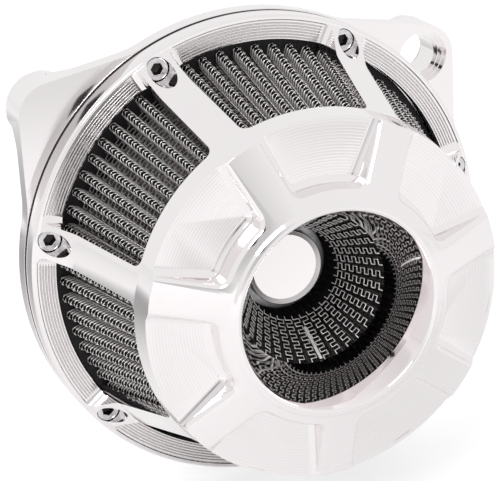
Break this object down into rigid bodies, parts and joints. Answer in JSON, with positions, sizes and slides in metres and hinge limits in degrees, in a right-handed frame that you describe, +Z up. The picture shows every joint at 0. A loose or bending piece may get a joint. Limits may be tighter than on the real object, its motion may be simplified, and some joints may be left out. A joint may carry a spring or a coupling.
{
  "type": "air filter",
  "caption": "Motorcycle air cleaner: a pleated outer cone and an inverted inner cone between an eared back plate and a milled, spoked cover with a funnel mouth.",
  "frame": {"origin": "centre of the throttle gasket's rear face, where the filter bolts to the intake", "axes": "+Y runs along the filter's axis to the rear, into the intake; the mouth faces -Y; +Z is up, towards the ears; +X is right, seen from the front"},
  "size_m": [0.1786, 0.1013, 0.1787],
  "materials": {
    "plated_metal": "polished bright plating over milled metal",
    "screw_steel": "plain steel",
    "plain_aluminium": "as turned",
    "black_rubber": "moulded, satin",
    "oiled_media": "black pleated media under wire mesh",
    "gasket_paper": "dark gasket sheet"
  },
  "bodies": {
    "base": {"back_plate": "plated_metal", "throttle_gasket": "gasket_paper", "breather_oring": "black_rubber", "cover_gasket": "black_rubber", "throttle_screw_1": "screw_steel", "throttle_screw_2": "screw_steel", "throttle_screw_3": "screw_steel"},
    "filter": {"outer_pleats": "oiled_media", "inner_pleats": "oiled_media", "rear_seal": "black_rubber", "front_seal": "black_rubber", "inner_ring": "black_rubber", "end_plate": "plain_aluminium", "centre_cap": "plated_metal", "cap_screw": "screw_steel"},
    "cover_body": {"cover": "plated_metal"},
    "screws": {"cover_screw_1": "screw_steel", "cover_screw_2": "screw_steel", "cover_screw_3": "screw_steel", "cover_screw_4": "screw_steel", "cover_screw_5": "screw_steel", "cover_screw_6": "screw_steel", "cover_screw_7": "screw_steel"}
  },
  "joints": [
    {"name": "filter_lift", "type": "slide", "parent": "base", "child": "filter", "axis": [0, -1, 0], "range_m": [0, 0.06]},
    {"name": "cover_lift", "type": "slide", "parent": "filter", "child": "cover_body", "axis": [0, -1, 0], "range_m": [0, 0.07]},
    {"name": "screws_lift", "type": "slide", "parent": "cover_body", "child": "screws", "axis": [0, -1, 0], "range_m": [0, 0.025]}
  ]
}
